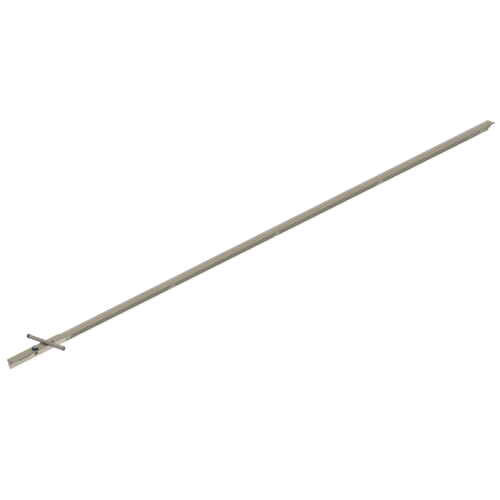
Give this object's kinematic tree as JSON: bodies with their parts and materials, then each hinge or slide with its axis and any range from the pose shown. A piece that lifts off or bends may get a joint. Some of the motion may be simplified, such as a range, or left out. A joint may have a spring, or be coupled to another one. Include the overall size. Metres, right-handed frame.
{
  "type": "flush bolt",
  "caption": "Long extension flush bolt: angle-section strip with a T-handle case at one end, a lock screw, and a round rod that slides its nose out of the other end.",
  "frame": {"origin": "midpoint between the two end fixing holes, halfway down the straight wall of the hole at the nose end, 1.2 mm under the visible face", "axes": "+X along the strip from the handle end to the bolt's nose, +Y across the strip towards the web, +Z out of the visible face"},
  "size_m": [1.233, 0.077, 0.0269],
  "materials": {
    "strip_metal": "satin, fine lengthwise grain",
    "case_metal": "satin, fine lengthwise grain",
    "plate_bright": "bright zinc",
    "inner_steel": "plain machined",
    "block_dark": "moulded nylon",
    "guide_plastic": "moulded acetal",
    "rivet_metal": "satin",
    "screw_dark": "dark zinc",
    "screw_bright": "bright zinc",
    "rod_metal": "drawn bar",
    "nose_metal": "turned",
    "handle_metal": "satin",
    "cap_plastic": "moulded",
    "spring_steel": "cold rolled",
    "shoe_brass": "turned",
    "stud_steel": "turned, bluish",
    "grip_black": "fluted, matt"
  },
  "bodies": {
    "strip": {"face_strip": "strip_metal", "back_web": "strip_metal", "handle_case": "case_metal", "front_plate": "plate_bright", "end_block": "block_dark", "slide_rail": "inner_steel", "lock_block": "block_dark", "lock_block_screw": "screw_dark", "tongue_screw": "screw_bright", "case_rivets": "rivet_metal", "strip_rivet": "rivet_metal", "handle_guide": "guide_plastic", "rod_guide_1": "guide_plastic", "rod_guide_2": "guide_plastic", "rod_guide_3": "guide_plastic", "nose_guide": "guide_plastic", "guide_rivets": "rivet_metal"},
    "bolt": {"slider_block": "inner_steel", "handle_stem": "handle_metal", "crossbar": "handle_metal", "stem_pin": "screw_dark", "crossbar_cap_near": "handle_metal", "crossbar_cap_far": "cap_plastic", "drag_spring": "spring_steel", "spring_rivet": "spring_steel", "bolt_rod": "rod_metal", "jam_nut": "screw_bright", "bolt_nose": "nose_metal", "nose_pin": "screw_dark"},
    "shoe": {"lock_shoe": "shoe_brass"},
    "screw": {"lock_screw": "stud_steel", "lock_grip": "grip_black"}
  },
  "joints": [
    {"name": "bolt_slide", "type": "slide", "parent": "strip", "child": "bolt", "axis": [1, 0, 0], "range_m": [0, 0.016]},
    {"name": "lock_travel", "type": "slide", "parent": "strip", "child": "shoe", "axis": [0, 0, 1], "range_m": [0, 0.00106]},
    {"name": "lock_turn", "type": "hinge", "parent": "shoe", "child": "screw", "pos_m": [-0.544, 0.0026, 0], "axis": [0, 0, 1], "range_deg": [0, 540]}
  ],
  "couplings": [
    {"joint": "lock_travel", "follows": "lock_turn", "m_per_rad": 0.00011141}
  ]
}
